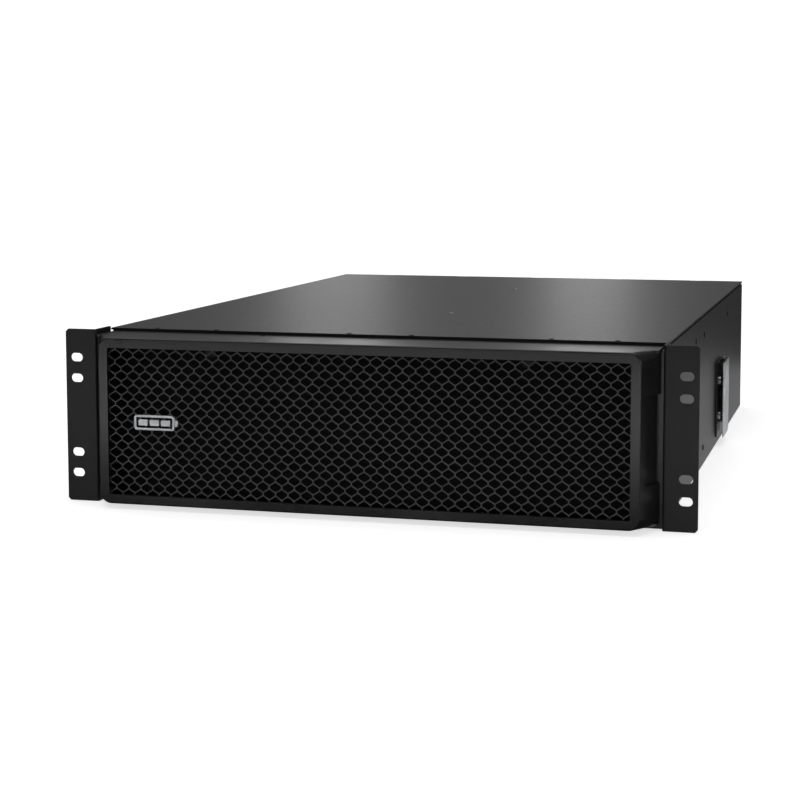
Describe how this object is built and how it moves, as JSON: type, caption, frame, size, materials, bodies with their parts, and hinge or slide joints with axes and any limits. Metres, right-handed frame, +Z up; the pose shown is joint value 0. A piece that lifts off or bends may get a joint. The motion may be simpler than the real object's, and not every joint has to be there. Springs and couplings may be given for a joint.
{
  "type": "rack battery",
  "caption": "Low, deep rack-mount battery pack: black steel case, slotted ears, mesh bezel and slide-out battery cartridges behind a door.",
  "frame": {"origin": "centre of the overall box in plan, on the lower edges of the rack ears", "axes": "+X to the right of somebody facing the front, +Y towards the rear, +Z up"},
  "size_m": [0.4826, 0.67, 0.1325],
  "materials": {
    "chassis_black": "fine textured powder coat, satin",
    "bezel_black": "fine moulded grain",
    "mesh_black": "satin powder coat",
    "badge_metal": "brushed",
    "zinc": "zinc plated",
    "screw_zinc": "zinc plated",
    "rivet_black": "painted",
    "guide_white": "low friction plastic",
    "block_grey": "moulded battery case",
    "lead_metal": "tinned",
    "copper": "tinned copper",
    "wire_red": "insulation",
    "wire_black": "insulation",
    "wire_grey": "insulation",
    "sheet_clear": "insulating film",
    "plug_grey": "moulded connector",
    "pull_black": "moulded",
    "board_green": "solder mask",
    "board_black": "component bodies",
    "breaker_grey": "moulded",
    "toggle_white": "moulded",
    "fuse_white": "ceramic look",
    "tray_zinc": "galvanised sheet"
  },
  "bodies": {
    "chassis": {"base_pan": "chassis_black", "top_cover": "chassis_black", "front_frame": "chassis_black", "bezel_studs": "screw_zinc", "chassis_rivets": "rivet_black", "centre_divider": "tray_zinc", "bay_bulkhead": "tray_zinc", "bay_guides": "guide_white", "rack_ear_left": "chassis_black", "rack_ear_right": "chassis_black", "side_bracket_left": "zinc", "side_bracket_right": "zinc", "chassis_screws": "screw_zinc", "rear_panel": "chassis_black", "dc_sockets": "plug_grey", "dc_links": "copper", "socket_screws": "screw_zinc", "breaker_body": "breaker_grey", "comm_ports": "pull_black", "ground_stud": "screw_zinc", "ground_nuts": "screw_zinc", "monitor_board": "board_green", "board_standoffs": "screw_zinc", "board_parts": "board_black", "fuse_holder": "breaker_grey", "main_fuse": "fuse_white", "bay_sockets": "plug_grey", "power_contacts": "copper", "positive_wires": "wire_red", "negative_wires": "wire_black", "signal_wires": "wire_grey"},
    "left_cartridge": {"left_tray": "tray_zinc", "left_battery_blocks": "block_grey", "left_terminals": "lead_metal", "left_link_bars": "copper", "left_leads": "wire_red", "left_insulating_sheet": "sheet_clear", "left_pull": "pull_black", "left_pull_screws": "screw_zinc", "left_plug": "plug_grey"},
    "right_cartridge": {"right_tray": "tray_zinc", "right_battery_blocks": "block_grey", "right_terminals": "lead_metal", "right_link_bars": "copper", "right_leads": "wire_red", "right_insulating_sheet": "sheet_clear", "right_pull": "pull_black", "right_pull_screws": "screw_zinc", "right_plug": "plug_grey"},
    "door": {"battery_door": "chassis_black", "thumbscrew_ferrules": "screw_zinc"},
    "bezel": {"bezel_frame": "bezel_black", "hex_mesh": "mesh_black", "mesh_screws": "screw_zinc", "badge": "badge_metal"},
    "left_thumbscrew": {"thumbscrew_left": "screw_zinc"},
    "right_thumbscrew": {"thumbscrew_right": "screw_zinc"},
    "left_release": {"release_lever_left": "bezel_black"},
    "right_release": {"release_lever_right": "bezel_black"},
    "toggle": {"breaker_toggle": "toggle_white"}
  },
  "joints": [
    {"name": "left_cartridge_slide", "type": "slide", "parent": "chassis", "child": "left_cartridge", "axis": [0, -1, 0], "range_m": [0, 0.58]},
    {"name": "right_cartridge_slide", "type": "slide", "parent": "chassis", "child": "right_cartridge", "axis": [0, -1, 0], "range_m": [0, 0.58]},
    {"name": "door_slide", "type": "slide", "parent": "left_cartridge", "child": "door", "axis": [0, -1, 0], "range_m": [0, 0.12]},
    {"name": "bezel_slide", "type": "slide", "parent": "door", "child": "bezel", "axis": [0, -1, 0], "range_m": [0, 0.15]},
    {"name": "left_thumbscrew_turn", "type": "hinge", "parent": "door", "child": "left_thumbscrew", "pos_m": [-0.12, -0.3115, 0.1192], "axis": [0, -1, 0], "continuous": true},
    {"name": "right_thumbscrew_turn", "type": "hinge", "parent": "door", "child": "right_thumbscrew", "pos_m": [0.12, -0.3115, 0.1192], "axis": [0, -1, 0], "continuous": true},
    {"name": "left_release_press", "type": "hinge", "parent": "bezel", "child": "left_release", "pos_m": [-0.2043, -0.3261, 0.0665], "axis": [0, 0, -1], "range_deg": [0, 12], "stiffness_Nm_per_rad": 0.25},
    {"name": "right_release_press", "type": "hinge", "parent": "bezel", "child": "right_release", "pos_m": [0.2043, -0.3261, 0.0665], "axis": [0, 0, 1], "range_deg": [0, 12], "stiffness_Nm_per_rad": 0.25},
    {"name": "toggle_throw", "type": "hinge", "parent": "chassis", "child": "toggle", "pos_m": [0.034, 0.324, 0.046], "axis": [-1, 0, 0], "range_deg": [0, 64]}
  ],
  "couplings": [
    {"joint": "right_cartridge_slide", "follows": "left_cartridge_slide", "ratio": 1}
  ]
}
